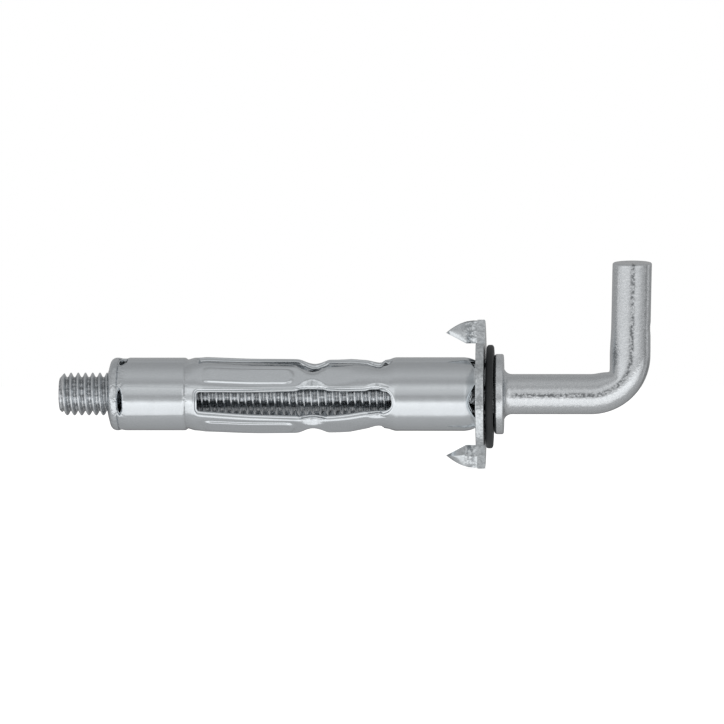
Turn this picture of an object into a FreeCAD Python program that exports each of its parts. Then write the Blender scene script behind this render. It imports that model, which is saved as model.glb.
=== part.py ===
import FreeCAD, Part
import math
import os
import Sketcher

# Metal hollow wall anchor with a square hook screw, in millimetres.
# The anchor lies along X: the hook is on the room's side (+X), the sleeve goes into the wall (-X),
# and the hook's leg points up (+Z). The origin is on the anchor's axis, in the face of the spiked
# flange that lies on the wall. Depths below are distances behind that face, measured towards -X.

DRIVING_SIZES = [
    # The sleeve: one strip of sheet steel, rolled to a tube, slit, ribbed and waisted.
    ("sheet", 0.7),
    ("nut_end_radius", 5.0),
    ("mouth_radius", 5.05),
    ("cap_hole_radius", 3.15),
    ("cap_dome", 0.45),
    ("cap_rounding", 1.0),
    ("cap_inner_rounding", 0.45),
    ("crimp_bite", 0.12),
    ("crimp_rounding", 0.9),
    ("crimp_rest", 0.15),
    ("swell_radius", 5.2),
    ("fold_radius", 5.3),
    ("waist_radius", 4.85),
    ("shoulder_radius", 5.2),
    ("throat_radius", 4.4),
    ("waist_rounding", 4.0),
    ("throat_rounding", 2.5),
    ("leg_rounding", 2.0),
    # Lengths along the sleeve, one after another, from the wall's face to the nut's end.
    ("mouth_length", 11.2),
    ("throat_fall", 2.1),
    ("throat_rise", 4.0),
    ("shoulder_length", 3.1),
    ("waist_fall", 2.0),
    ("waist_rise", 2.5),
    ("leg_length", 12.4),
    ("swell_length", 1.6),
    ("crimp_width", 1.2),
    ("nut_end_length", 10.5),
    # The four windows between the legs. The first one faces the reader, turned a little downwards.
    ("leg_count", 4),
    ("window_turn", 13.0),
    ("window_far_run", 1.3),
    ("window_far_half", 1.65),
    ("window_wide_half", 2.3),
    ("window_narrow_half", 1.9),
    ("window_narrow_run", 2.0),
    ("window_eye_half", 1.95),
    ("window_eye_run", 0.6),
    ("window_near_run", 0.2),
    ("window_corner", 0.6),
    ("window_eye_corner", 1.85),
    ("window_bend", 3.0),
    # Each leg is pressed flat, with one rib raised on the flat. The rib's foot is sunk into the leg.
    ("leg_flat", 5.03),
    ("rib_near_run", 0.2),
    ("rib_half", 1.3),
    ("rib_rise", 0.17),
    ("rib_draft", 45.0),
    ("rib_sink", 0.1),
    ("rib_end_rounding", 1.0),
    # The lens-shaped slits that let the end fold in over the nut, and the half-moons at the flange.
    ("slit_rest", 1.7),
    ("slit_half", 0.33),
    ("slit_reach", 1.9),
    ("moon_depth", 1.15),
    ("moon_half", 2.3),
    # The neck that passes through the flange, with its end staked outwards.
    ("neck_radius", 4.75),
    ("neck_start_depth", 1.1),
    ("neck_end_depth", 0.3),
    ("neck_rounding", 0.5),
    ("stake_rise", 0.4),
    ("stake_length", 0.45),
    ("stake_rest", 0.06),
    ("fit", 0.02),
    # Lengths that only carry a cut clear of the metal.
    ("overrun", 1.0),
    ("reach", 7.0),
    # The nut that the sleeve's end holds.
    ("nut_chamfer", 0.5),
    # The spiked flange.
    ("flange_radius", 10.2),
    ("flange_thickness", 1.1),
    ("flange_edge", 0.12),
    ("spike_base", 6.95),
    ("spike_length", 4.25),
    ("spike_tip_height", 8.4),
    ("spike_heel", 1.5),
    ("spike_root", 0.3),
    ("spike_half", 0.5),
    ("spike_draft", 32.0),
    ("spike_bow", 0.5),
    # The black washer.
    ("washer_radius", 7.1),
    ("washer_bore_radius", 3.2),
    ("washer_thickness", 1.05),
    ("washer_edge", 0.35),
    ("washer_gap", 0.15),
    # The hook screw.
    ("thread_radius", 2.95),
    ("thread_clearance", 0.05),
    ("thread_overhang", 6.8),
    ("thread_end_depth", 4.0),
    ("tip_chamfer", 0.7),
    ("rod_radius", 2.75),
    ("collar_radius", 5.5),
    ("collar_thickness", 1.2),
    ("collar_chamfer", 0.35),
    ("collar_fillet", 1.1),
    ("leg_reach", 21.2),
    ("leg_height", 18.4),
    ("bend_radius", 5.4),
    ("shank_bulge", 0.25),
    ("leg_bulge", 0.15),
    ("leg_end_rounding", 0.4),
]

# The sizes as they stand, for the shapes' first drafts and the choice of edges. The constraints and
# feature lengths follow the spreadsheet instead.
START = dict(DRIVING_SIZES)

Vector = FreeCAD.Vector
ALONG_X = Vector(1, 0, 0)
ALONG_Z = Vector(0, 0, 1)

# The lengths that follow one another along the sleeve, from the wall's face inwards.
SLEEVE_RUNS = [
    "mouth_length", "throat_fall", "throat_rise", "shoulder_length", "waist_fall", "waist_rise",
    "leg_length", "swell_length", "crimp_width", "nut_end_length",
]


def depth_after(run):
    """A formula for the depth at which this length of the sleeve ends."""
    return "( " + " + ".join(SLEEVE_RUNS[:SLEEVE_RUNS.index(run) + 1]) + " )"


MOUTH_END = depth_after("mouth_length")
THROAT = depth_after("throat_fall")
SHOULDER_START = depth_after("throat_rise")
SHOULDER_END = depth_after("shoulder_length")
WAIST = depth_after("waist_fall")
FOLD = depth_after("waist_rise")
SWELL = depth_after("leg_length")
CRIMP_START = depth_after("swell_length")
CRIMP_END = depth_after("crimp_width")
SLEEVE_END = depth_after("nut_end_length")

# A sketch's own origin, as constraints name it: the geometry's number and the point's.
ORIGIN = (-1, 1)

# Two points closer than this, in millimetres, are the same point.
TOUCH = 0.001

# Degrees in a full turn.
FULL_TURN = 360

document = FreeCAD.newDocument("HollowWallAnchor")


def make_sheet():
    """The spreadsheet of driving sizes: a name in column A, its value in column B."""
    sizes = document.addObject("Spreadsheet::Sheet", "Sizes")
    for row, (alias, value) in enumerate(DRIVING_SIZES, start=1):
        sizes.set(f"A{row}", alias)
        sizes.set(f"B{row}", str(value))
        sizes.setAlias(f"B{row}", alias)
    document.recompute()


def cells(formula):
    """The formula with each size's name turned into its cell in the spreadsheet."""
    words = []
    for word in formula.split():
        sign = "-" if word.startswith("-") and len(word) > 1 else ""
        name = word[len(sign):]
        words.append(f"{sign}Sizes.{name}" if name in START else word)
    return " ".join(words)


def make_body(name):
    body = document.addObject("PartDesign::Body", name)
    body.Label = name
    return body


def origin_part(body, role):
    """One of the body's own origin planes or axes."""
    return next(part for part in body.Origin.OriginFeatures if part.Role == role)


def make_sketch(body, name, role="XZ_Plane", turn=None, lift=None):
    """An empty sketch on an origin plane, turned about the X axis and lifted off it by formulas."""
    sketch = body.newObject("Sketcher::SketchObject", name)
    sketch.AttachmentSupport = [(origin_part(body, role), "")]
    sketch.MapMode = "FlatFace"
    if turn:
        sketch.AttachmentOffset = FreeCAD.Placement(Vector(), FreeCAD.Rotation(ALONG_X, 1))
        sketch.setExpression("AttachmentOffset.Rotation.Angle", cells(turn))
    if lift and turn:
        sketch.setExpression("AttachmentOffset.Base.y", cells(f"0 - ( {lift} ) * sin( {turn} )"))
        sketch.setExpression("AttachmentOffset.Base.z", cells(f"( {lift} ) * cos( {turn} )"))
    elif lift:
        sketch.setExpression("AttachmentOffset.Base.z", cells(lift))
    return sketch


def drive(sketch, kind, places, value, formula):
    """A constraint of this kind whose value follows the formula."""
    index = sketch.addConstraint(Sketcher.Constraint(kind, *places, value))
    sketch.setExpression(f"Constraints[{index}]", cells(formula))


def join(sketch, kind, *places):
    """A constraint of this kind that has no value."""
    sketch.addConstraint(Sketcher.Constraint(kind, *places))


def pin_point(sketch, across, up):
    """A construction point held at (across, up), two formulas."""
    point = sketch.addGeometry(Part.Point(Vector(1, 1, 0)), True)
    drive(sketch, "DistanceX", (*ORIGIN, point, 1), 1.0, across)
    drive(sketch, "DistanceY", (*ORIGIN, point, 1), 1.0, up)
    return point


def places_of(sketch, points):
    """Where the sketch's points stand now, by their numbers."""
    document.recompute()
    return {point: Vector(*sketch.getPoint(point, 1)) for point in points}


def draw_line(sketch, first, last, place):
    """A line held at two of the sketch's points."""
    line = sketch.addGeometry(Part.LineSegment(place[first], place[last]), False)
    join(sketch, "Coincident", line, 1, first, 1)
    join(sketch, "Coincident", line, 2, last, 1)


def draw_arc(sketch, first, middle, last, place):
    """An arc held at three of the sketch's points."""
    arc = sketch.addGeometry(Part.Arc(place[first], place[middle], place[last]), False)
    starts_first = sketch.getPoint(arc, 1).distanceToPoint(place[first]) < TOUCH
    start, end = (1, 2) if starts_first else (2, 1)
    join(sketch, "Coincident", arc, start, first, 1)
    join(sketch, "Coincident", arc, end, last, 1)
    join(sketch, "PointOnObject", middle, 1, arc)


def fillet_at(corner, before, after, radius):
    """The centre and the two tangent points of an arc that rounds a corner between two lines."""
    to_before = (before - corner).normalize()
    to_after = (after - corner).normalize()
    half_angle = to_before.getAngle(to_after) / 2
    run = radius / math.tan(half_angle)
    centre = corner + (to_before + to_after).normalize() * (radius / math.sin(half_angle))
    return centre, corner + to_before * run, corner + to_after * run


def draw_outline(sketch, corners):
    """A closed outline of straight lines through the corners, each (across, up, rounding or None).

    The corners are construction points that follow their formulas. The lines run between them, and an
    arc of the named radius, tangent to both lines, rounds each corner that has one.
    """
    points = [pin_point(sketch, across, up) for across, up, _ in corners]
    places = list(places_of(sketch, points).values())
    count = len(corners)
    starts, ends, arcs = list(places), list(places), {}
    for index, (_, _, rounding) in enumerate(corners):
        if rounding is None:
            continue
        before, after = places[index - 1], places[(index + 1) % count]
        radius = START[rounding]
        centre, first, last = fillet_at(places[index], before, after, radius)
        ends[index], starts[index] = first, last
        from_angle = math.atan2(first.y - centre.y, first.x - centre.x)
        to_angle = math.atan2(last.y - centre.y, last.x - centre.x)
        forward = (to_angle - from_angle) % (2 * math.pi) < math.pi
        if not forward:
            from_angle, to_angle = to_angle, from_angle
        circle = Part.Circle(centre, ALONG_Z, radius)
        arc = sketch.addGeometry(Part.ArcOfCircle(circle, from_angle, to_angle), False)
        arcs[index] = (arc, 1, 2) if forward else (arc, 2, 1)
    lines = [
        sketch.addGeometry(Part.LineSegment(starts[index], ends[(index + 1) % count]), False)
        for index in range(count)
    ]
    for index, (_, _, rounding) in enumerate(corners):
        line_in, line_out = lines[index - 1], lines[index]
        if rounding is None:
            join(sketch, "Coincident", line_in, 2, points[index], 1)
            join(sketch, "Coincident", line_out, 1, points[index], 1)
            continue
        arc, arc_start, arc_end = arcs[index]
        join(sketch, "Tangent", line_in, 2, arc, arc_start)
        join(sketch, "Tangent", line_out, 1, arc, arc_end)
        join(sketch, "PointOnObject", points[index], 1, line_in)
        join(sketch, "PointOnObject", points[index], 1, line_out)
        drive(sketch, "Radius", (arc,), START[rounding], rounding)


def mirrored_outline(upper):
    """The corners of an outline that is alike above and below the sketch's X axis."""
    lower = [(across, f"0 - ( {up} )", rounding) for across, up, rounding in reversed(upper)]
    return upper + lower


def revolve(body, name, sketch, kind="PartDesign::Revolution"):
    """A full turn of the sketch about the anchor's axis."""
    feature = body.newObject(kind, name)
    feature.Profile = sketch
    feature.ReferenceAxis = (sketch, ["H_Axis"])
    feature.Angle = FULL_TURN


def pad(body, name, sketch, length, draft, midplane=False):
    """A pad whose flanks lean in by the draft, an angle in degrees."""
    feature = body.newObject("PartDesign::Pad", name)
    feature.Profile = sketch
    feature.setExpression("Length", cells(length))
    feature.setExpression("TaperAngle", cells(f"0 - {draft}"))
    feature.Midplane = midplane
    return feature


def pocket(body, name, sketch, length, outwards=True):
    """A cut from the sketch's plane, along its normal where it goes outwards."""
    feature = body.newObject("PartDesign::Pocket", name)
    feature.Profile = sketch
    feature.setExpression("Length", cells(length))
    feature.Reversed = outwards
    return feature


def repeat_round(body, name, features):
    """The features once for each leg, spaced evenly round the axis."""
    pattern = body.newObject("PartDesign::PolarPattern", name)
    pattern.Originals = features
    pattern.Axis = (origin_part(body, "X_Axis"), [""])
    pattern.Angle = FULL_TURN
    pattern.setExpression("Occurrences", cells("leg_count"))
    body.Tip = pattern


# The tube's outside from the nut's end to the neck: depth, radius and rounding of each corner.
TUBE_CORNERS = [
    (f"0 - {CRIMP_END}", "nut_end_radius", "crimp_rounding"),
    (f"crimp_width / 2 - {CRIMP_END}", "nut_end_radius - crimp_bite", "crimp_rounding"),
    (f"0 - {CRIMP_START}", "nut_end_radius", "crimp_rounding"),
    (f"0 - {SWELL}", "swell_radius", "leg_rounding"),
    (f"0 - {FOLD}", "fold_radius", "leg_rounding"),
    (f"0 - {WAIST}", "waist_radius", "waist_rounding"),
    (f"0 - {SHOULDER_END}", "shoulder_radius", "leg_rounding"),
    (f"0 - {SHOULDER_START}", "shoulder_radius", "leg_rounding"),
    (f"0 - {THROAT}", "throat_radius", "throat_rounding"),
    (f"0 - {MOUTH_END}", "mouth_radius", "leg_rounding"),
    ("-neck_start_depth", "mouth_radius", "neck_rounding"),
    ("-neck_end_depth", "neck_radius", "neck_rounding"),
    ("flange_thickness - stake_rest - stake_length", "neck_radius", "neck_rounding"),
]


def make_sleeve():
    """The expansion sleeve: a tube with two waists, hollowed to a sheet, then cut and ribbed."""
    body = make_body("expansion_sleeve")
    outside = make_sketch(body, "SleeveOutside")
    draw_outline(outside, [
        (f"0 - {SLEEVE_END}", "0", None),
        (f"0 - {SLEEVE_END}", "cap_hole_radius", None),
        (f"cap_dome - {SLEEVE_END}", "nut_end_radius", "cap_rounding"),
        *TUBE_CORNERS,
        ("flange_thickness - stake_rest", "neck_radius + stake_rise", None),
        ("flange_thickness - stake_rest", "0", None),
    ])
    revolve(body, "SleeveForm", outside)

    inside = make_sketch(body, "SleeveInside")
    draw_outline(inside, [
        (f"0 - {SLEEVE_END} - overrun", "0", None),
        (f"0 - {SLEEVE_END} - overrun", "cap_hole_radius", None),
        (f"sheet - {SLEEVE_END}", "cap_hole_radius", None),
        (f"sheet + cap_dome - {SLEEVE_END}", "nut_end_radius - sheet", "cap_inner_rounding"),
        *[(across, f"{up} - sheet", rounding) for across, up, rounding in TUBE_CORNERS],
        ("flange_thickness - stake_rest", "neck_radius + stake_rise - sheet", None),
        ("flange_thickness + overrun", "neck_radius + stake_rise - sheet", None),
        ("flange_thickness + overrun", "0", None),
    ])
    revolve(body, "SleeveHollow", inside, "PartDesign::Groove")

    window = make_sketch(body, "WindowOutline", turn="window_turn")
    draw_outline(window, mirrored_outline([
        (f"0 - {SWELL} - window_far_run", "window_far_half", "window_corner"),
        (f"0 - {WAIST}", "window_wide_half", "window_bend"),
        (f"0 - {THROAT} - window_narrow_run", "window_narrow_half", "window_bend"),
        (f"0 - {THROAT} - window_eye_run", "window_eye_half", "window_corner"),
        (f"0 - {MOUTH_END} - window_near_run", "window_eye_half", "window_eye_corner"),
    ]))
    window_cut = pocket(body, "Window", window, "reach")

    slit = make_sketch(body, "SlitOutline", turn="window_turn")
    draw_lens(slit, f"slit_rest - {SLEEVE_END}", "slit_half", "slit_reach")
    slit_cut = pocket(body, "Slit", slit, "reach")

    moon = make_sketch(body, "MoonOutline", turn="window_turn")
    draw_moon(moon)
    moon_cut = pocket(body, "HalfMoon", moon, "reach")

    leg_turn = f"window_turn + {FULL_TURN} / leg_count / 2"
    flat = make_sketch(body, "LegFlatOutline", turn=leg_turn, lift="leg_flat")
    draw_outline(flat, mirrored_outline([
        (f"0 - {CRIMP_START}", "leg_flat / 2", None),
        (f"0 - {THROAT}", "leg_flat / 2", None),
    ]))
    flat_cut = pocket(body, "LegFlat", flat, "overrun")

    ribs = make_sketch(body, "RibOutline", turn=leg_turn, lift="leg_flat - rib_sink")
    draw_outline(ribs, mirrored_outline([
        (f"0 - {SWELL}", "rib_half", "rib_end_rounding"),
        (f"0 - {FOLD} - rib_near_run", "rib_half", "rib_end_rounding"),
    ]))
    rib = pad(body, "Rib", ribs, "rib_sink + rib_rise", "rib_draft")
    repeat_round(body, "Legs", [window_cut, slit_cut, moon_cut, flat_cut, rib])
    return body


def draw_lens(sketch, across, half_width, reach):
    """A pointed lens: two equal arcs that meet above and below the X axis."""
    top = pin_point(sketch, across, reach)
    bottom = pin_point(sketch, across, f"0 - {reach}")
    left = pin_point(sketch, f"{across} - {half_width}", "0")
    right = pin_point(sketch, f"{across} + {half_width}", "0")
    place = places_of(sketch, (top, bottom, left, right))
    draw_arc(sketch, top, left, bottom, place)
    draw_arc(sketch, bottom, right, top, place)


def draw_moon(sketch):
    """A half-moon behind the flange's face, carried straight on past the sleeve's end."""
    behind = pin_point(sketch, "-moon_depth", "0")
    near_low = pin_point(sketch, "0", "-moon_half")
    near_high = pin_point(sketch, "0", "moon_half")
    far_low = pin_point(sketch, "flange_thickness + overrun", "-moon_half")
    far_high = pin_point(sketch, "flange_thickness + overrun", "moon_half")
    place = places_of(sketch, (behind, near_low, near_high, far_low, far_high))
    draw_arc(sketch, near_high, behind, near_low, place)
    draw_line(sketch, near_low, far_low, place)
    draw_line(sketch, far_low, far_high, place)
    draw_line(sketch, far_high, near_high, place)


def make_nut():
    """The threaded nut that the sleeve's end folds over. Its far end follows the fold."""
    body = make_body("threaded_nut")
    outline = make_sketch(body, "NutOutline")
    far = f"sheet + fit - {SLEEVE_END}"
    near = f"0 - {CRIMP_END} - crimp_rest"
    draw_outline(outline, [
        (far, "thread_radius + thread_clearance", None),
        (far, "cap_hole_radius", None),
        (f"{far} + cap_dome", "nut_end_radius - sheet - fit", "cap_inner_rounding"),
        (f"{near} - nut_chamfer", "nut_end_radius - sheet - fit", None),
        (near, "nut_end_radius - sheet - fit - nut_chamfer", None),
        (near, "thread_radius + thread_clearance", None),
    ])
    revolve(body, "NutForm", outline)
    return body


def make_flange():
    """The flange: a plate with two spikes, each cut from its rim and bent back towards the wall."""
    body = make_body("spiked_flange")
    outline = make_sketch(body, "FlangeOutline")
    draw_outline(outline, [
        ("0", "neck_radius + fit", None),
        ("flange_thickness - stake_rest - stake_length", "neck_radius + fit", "neck_rounding"),
        ("flange_thickness - stake_rest", "neck_radius + stake_rise + fit", None),
        ("flange_thickness", "neck_radius + stake_rise + fit", None),
        ("flange_thickness", "flange_radius", "flange_edge"),
        ("0", "flange_radius", "flange_edge"),
    ])
    revolve(body, "FlangeForm", outline)

    gap = make_sketch(body, "GapOutline", role="YZ_Plane")
    draw_outline(gap, [
        ("0 - flange_radius - overrun", "spike_base", None),
        ("-spike_half", "spike_base", "spike_root"),
        ("-spike_half", "flange_radius + overrun", None),
        ("0 - flange_radius - overrun", "flange_radius + overrun", None),
    ])
    gap_cut = pocket(body, "Gap", gap, "flange_thickness + overrun")

    spike = make_sketch(body, "SpikeOutline")
    draw_spike(spike)
    spike_pad = pad(body, "Spike", spike, "2 * spike_half", "spike_draft", midplane=True)
    both = body.newObject("PartDesign::Mirrored", "BothSpikes")
    both.Originals = [gap_cut, spike_pad]
    both.MirrorPlane = (origin_part(body, "XY_Plane"), [""])
    body.Tip = both
    return body


def draw_spike(sketch):
    """A spike from the side: a bowed outer edge, a straight lower edge and a rounded heel."""
    rim_height = "flange_radius - flange_edge"
    root_high = pin_point(sketch, "flange_thickness / 2", rim_height)
    rim = pin_point(sketch, "0", rim_height)
    tip = pin_point(sketch, "-spike_length", "spike_tip_height")
    bow_height = f"( {rim_height} + spike_tip_height ) / 2 + spike_bow"
    bow = pin_point(sketch, "0 - spike_length / 2", bow_height)
    heel = pin_point(sketch, "-spike_heel", "spike_base")
    root_low = pin_point(sketch, "flange_thickness / 2", "spike_base")
    place = places_of(sketch, (root_high, rim, tip, bow, heel, root_low))
    draw_arc(sketch, rim, bow, tip, place)
    for first, last in ((tip, heel), (heel, root_low), (root_low, root_high), (root_high, rim)):
        draw_line(sketch, first, last, place)


def make_washer():
    """The black washer, loose on the screw between the flange and the hook's collar."""
    body = make_body("washer")
    outline = make_sketch(body, "WasherOutline")
    near = "flange_thickness + washer_gap"
    far = "flange_thickness + washer_gap + washer_thickness"
    draw_outline(outline, [
        (near, "washer_bore_radius", "washer_edge"),
        (near, "washer_radius", "washer_edge"),
        (far, "washer_radius", "washer_edge"),
        (far, "washer_bore_radius", "washer_edge"),
    ])
    revolve(body, "WasherForm", outline)
    return body


def make_hook():
    """The hook screw: threaded end, collar and rod in one piece, the rod bent up to a square hook.

    The thread is plain at its crests here. The rod's bend is tight, so the inner corner is pressed
    nearly square while the outer one stays round.
    """
    body = make_body("hook_screw")
    tip = f"0 - {SLEEVE_END} - thread_overhang"
    collar_start = "flange_thickness + 2 * washer_gap + washer_thickness"
    outline = make_sketch(body, "ScrewOutline")
    draw_outline(outline, [
        (tip, "0", None),
        (tip, "thread_radius - tip_chamfer", None),
        (f"{tip} + tip_chamfer", "thread_radius", None),
        ("-thread_end_depth", "thread_radius", None),
        ("thread_radius - rod_radius - thread_end_depth", "rod_radius", None),
        (collar_start, "rod_radius", None),
        (collar_start, "collar_radius - collar_chamfer", None),
        (f"{collar_start} + collar_chamfer", "collar_radius", None),
        (f"{collar_start} + collar_thickness", "collar_radius", None),
        (f"{collar_start} + collar_thickness", "rod_radius", "collar_fillet"),
        ("leg_reach - bend_radius", "rod_radius", None),
        ("leg_reach - bend_radius", "0", None),
    ])
    revolve(body, "ScrewForm", outline)

    path = make_sketch(body, "BendPath")
    start = pin_point(path, "leg_reach - bend_radius", "0")
    halfway_drop = "bend_radius * ( 1 - sqrt(0.5) )"
    middle = pin_point(path, f"leg_reach - {halfway_drop}", halfway_drop)
    end = pin_point(path, "leg_reach", "bend_radius")
    top = pin_point(path, "leg_reach", "leg_height")
    place = places_of(path, (start, middle, end, top))
    draw_arc(path, start, middle, end, place)
    draw_line(path, end, top, place)

    section = make_sketch(body, "RodSection", role="YZ_Plane", lift="leg_reach - bend_radius")
    circle = section.addGeometry(Part.Circle(Vector(), ALONG_Z, START["rod_radius"]), False)
    join(section, "Coincident", circle, 3, *ORIGIN)
    drive(section, "Radius", (circle,), START["rod_radius"], "rod_radius")
    rod = body.newObject("PartDesign::AdditivePipe", "BentRod")
    rod.Profile = section
    rod.Spine = (path, [])

    corner = make_sketch(body, "CornerOutline")
    draw_outline(corner, [
        ("leg_reach - bend_radius - overrun", "rod_radius + shank_bulge", None),
        ("leg_reach - rod_radius - leg_bulge", "rod_radius + shank_bulge", None),
        ("leg_reach - rod_radius - leg_bulge", "bend_radius + overrun", None),
        ("leg_reach - bend_radius - overrun", "bend_radius + overrun", None),
    ])
    square = pocket(body, "SquareCorner", corner, "2 * rod_radius")
    square.Midplane = True
    document.recompute()

    top_edges = [
        f"Edge{number}"
        for number, edge in enumerate(square.Shape.Edges, start=1)
        if edge.BoundBox.ZMin > START["leg_height"] - TOUCH
    ]
    rounding = body.newObject("PartDesign::Fillet", "LegEnd")
    rounding.Base = (square, top_edges)
    rounding.setExpression("Radius", cells("leg_end_rounding"))
    return body


make_sheet()
bodies = [make_sleeve(), make_nut(), make_flange(), make_washer(), make_hook()]
document.recompute()

faults = [
    f"{item.Name}: {item.State}"
    for item in document.Objects
    if {"Invalid", "Error"} & set(item.State)
]
for body in bodies:
    if body.Shape.isNull() or not body.Shape.isValid() or len(body.Shape.Solids) != 1:
        faults.append(f"{body.Label}: not one valid solid")
if faults:
    raise RuntimeError("; ".join(faults))

os.makedirs("parts", exist_ok=True)
for body in bodies:
    body.Shape.exportStep(f"parts/{body.Label}.step")
    print(f"{body.Label}: {body.Shape.Volume:.2f} mm3")
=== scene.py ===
import math

import bpy
import numpy as np
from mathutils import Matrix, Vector


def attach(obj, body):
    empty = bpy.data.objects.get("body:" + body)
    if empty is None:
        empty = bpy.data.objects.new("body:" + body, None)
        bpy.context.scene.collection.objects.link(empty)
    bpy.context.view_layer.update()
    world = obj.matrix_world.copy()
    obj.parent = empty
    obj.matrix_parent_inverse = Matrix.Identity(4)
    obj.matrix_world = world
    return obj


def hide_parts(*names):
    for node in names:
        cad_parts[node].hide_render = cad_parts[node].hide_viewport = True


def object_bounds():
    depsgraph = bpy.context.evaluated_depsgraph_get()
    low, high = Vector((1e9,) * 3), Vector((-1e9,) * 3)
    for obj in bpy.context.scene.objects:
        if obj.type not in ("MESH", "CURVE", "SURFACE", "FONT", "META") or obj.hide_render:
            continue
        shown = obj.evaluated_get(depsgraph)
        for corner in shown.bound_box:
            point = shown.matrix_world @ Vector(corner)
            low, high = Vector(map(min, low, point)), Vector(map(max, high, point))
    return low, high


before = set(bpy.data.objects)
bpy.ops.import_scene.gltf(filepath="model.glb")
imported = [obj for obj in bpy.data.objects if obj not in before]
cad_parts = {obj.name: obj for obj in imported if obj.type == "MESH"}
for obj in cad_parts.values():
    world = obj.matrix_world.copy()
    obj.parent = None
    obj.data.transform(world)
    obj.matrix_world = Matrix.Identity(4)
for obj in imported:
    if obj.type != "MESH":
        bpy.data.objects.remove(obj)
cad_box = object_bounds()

# Hollow wall anchor with a square hook screw. Sizes are in millimetres and become metres in the mesh.
# The anchor lies along X, the hook's leg points up (+Z), and the reader looks along +Y.
# Depths are X positions: negative ones are inside the wall.

MM = 0.001
TURN = 2 * math.pi
QUARTER = TURN / 4

SHEET = 0.7
FIT = 0.02
SLEEVE_END = -50.6
SLEEVE_RADIUS = 5.0
MOUTH_RADIUS = 5.05
NECK_RADIUS = 4.85
CAP_HOLE = 3.15

FLANGE_RADIUS = 10.2
FLANGE_THICKNESS = 1.1
# The countersink that the neck is staked into: its width, and its places along X at rim and foot.
STAKE_WIDTH, STAKE_RIM, STAKE_FOOT = 0.4, 1.04, 0.59

# The spikes, and the cuts beside them. The upper and the lower one have the same outline.
SPIKE_LENGTH = 4.25
SPIKE_TOP, SPIKE_TIP, SPIKE_BASE = 10.08, 8.4, 6.95
SPIKE_HEEL, SPIKE_BOW, SPIKE_HALF = 1.5, 0.5, 0.5
CUT_SIDE = 0.55

PITCH = 1.0
CREST = 2.95
ROOT = 2.33
# Where the thread's flank starts beyond the root and how far it runs, as shares of half a pitch.
FLANK_START, FLANK_RUN = 0.08, 0.9
THREAD_START = -57.4
THREAD_END = -4.0
THREAD_SHIFT = -0.17
THREAD_GAP = 0.05
TIP_CUT, TIP_SLOPE = 0.7, 1.1

ROD = 2.75
LEG_ROD = 2.69
LEG_REACH = 20.95
LEG_LEAN = 0.27
LEG_HEIGHT = 18.4
LEG_END_ROUNDING = 0.25
BEND = 5.4
BEND_BULGE = 0.25
LEG_BULGE = 0.05

NUT_NEAR = -40.25

WASHER_NEAR, WASHER_FAR = 1.27, 2.27
WASHER_BORE, WASHER_RADIUS = 3.2, 7.1
WASHER_LEAN, WASHER_DROP = 0.009, 0.34
COLLAR_START, COLLAR_END = 2.36, 3.65
COLLAR_RADIUS = 5.5


def rounded_points(corners, arc_steps=10):
    """A line through the corners (across, up, radius), each corner rounded by an arc of its radius.

    An arc touches both runs: it starts at the radius over the tangent of half the corner's angle from
    the corner, and its centre lies on the corner's bisector.
    """
    places = np.array([corner[:2] for corner in corners], float)
    points = [places[:1]]
    for before, corner, after, (_, _, radius) in zip(places, places[1:], places[2:], corners[1:]):
        if not radius:
            points.append(corner[None])
            continue
        back = (before - corner) / np.linalg.norm(before - corner)
        ahead = (after - corner) / np.linalg.norm(after - corner)
        half = math.acos(np.clip(back @ ahead, -1, 1)) / 2
        middle = (back + ahead) / np.linalg.norm(back + ahead)
        centre = corner + middle * radius / math.sin(half)
        sweep = np.linspace(half - QUARTER, QUARTER - half, arc_steps + 1)[:, None]
        side = ahead - middle * (ahead @ middle)
        side /= np.linalg.norm(side)
        points.append(centre - radius * np.cos(sweep) * middle + radius * np.sin(sweep) * side)
    points.append(places[-1:])
    return np.concatenate(points)


# A punched edge of the sheet, from its outer side to its inner one: how far it stands out and how deep
# it lies. It is rolled over first and then torn, and the part that was cut clean stands out again.
PUNCHED_EDGE = rounded_points([
    (0, 0, 0),
    (0.17, 0, 0.45),
    (0.32, 0.13, 0.06),
    (0.35, 0.35, 0.03),
    (0.54, 0.39, 0.13),
    (0.55, SHEET, 0.05),
    (0.4, SHEET, 0),
], arc_steps=2)[1:-1]
EDGE_REACH = PUNCHED_EDGE[:, 0].max()
# The share of that reach at the slits, the half-moons and the sleeve's two ends.
SMALL_EDGE = 0.45


class Line:
    """A rounded line in a plane, read by the distance along it."""

    def __init__(self, corners):
        self.points = rounded_points(corners)
        steps = np.linalg.norm(np.diff(self.points, axis=0), axis=1)
        self.marks = np.append(0, np.cumsum(steps))

    def at(self, distance):
        across = np.interp(distance, self.marks, self.points[:, 0])
        up = np.interp(distance, self.marks, self.points[:, 1])
        return across, up

    def distance(self, across):
        return np.interp(across, self.points[:, 0], self.marks)


def spread(stops):
    """Values through every stop (value, step), no further apart than the step after each stop."""
    runs = []
    for (start, step), (end, _) in zip(stops, stops[1:]):
        count = max(1, math.ceil((end - start) / step))
        runs.append(np.linspace(start, end, count + 1)[:-1])
    return np.append(np.concatenate(runs), stops[-1][0])


def smooth_step(value):
    """Rises smoothly from 0 to 1 while the value does."""
    value = np.clip(value, 0, 1)
    return value * value * (3 - 2 * value)


def hump(value, middle, width):
    """1 at the middle, falling smoothly on both sides to about a third at one width from it."""
    return np.exp(-((value - middle) / width) ** 2)


def soft_min(first, second, width):
    """The smaller of the two, with the crease between them rounded over the width."""
    return (first + second - np.sqrt((first - second) ** 2 + width ** 2)) / 2


def fade_from(away, start, length):
    """1 at the start, falling evenly to 0 over the length, and 0 on the other side of the start."""
    gone = (away - start) / length
    return np.where(gone > -1e-9, np.clip(1 - gone, 0, 1), 0)


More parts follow.
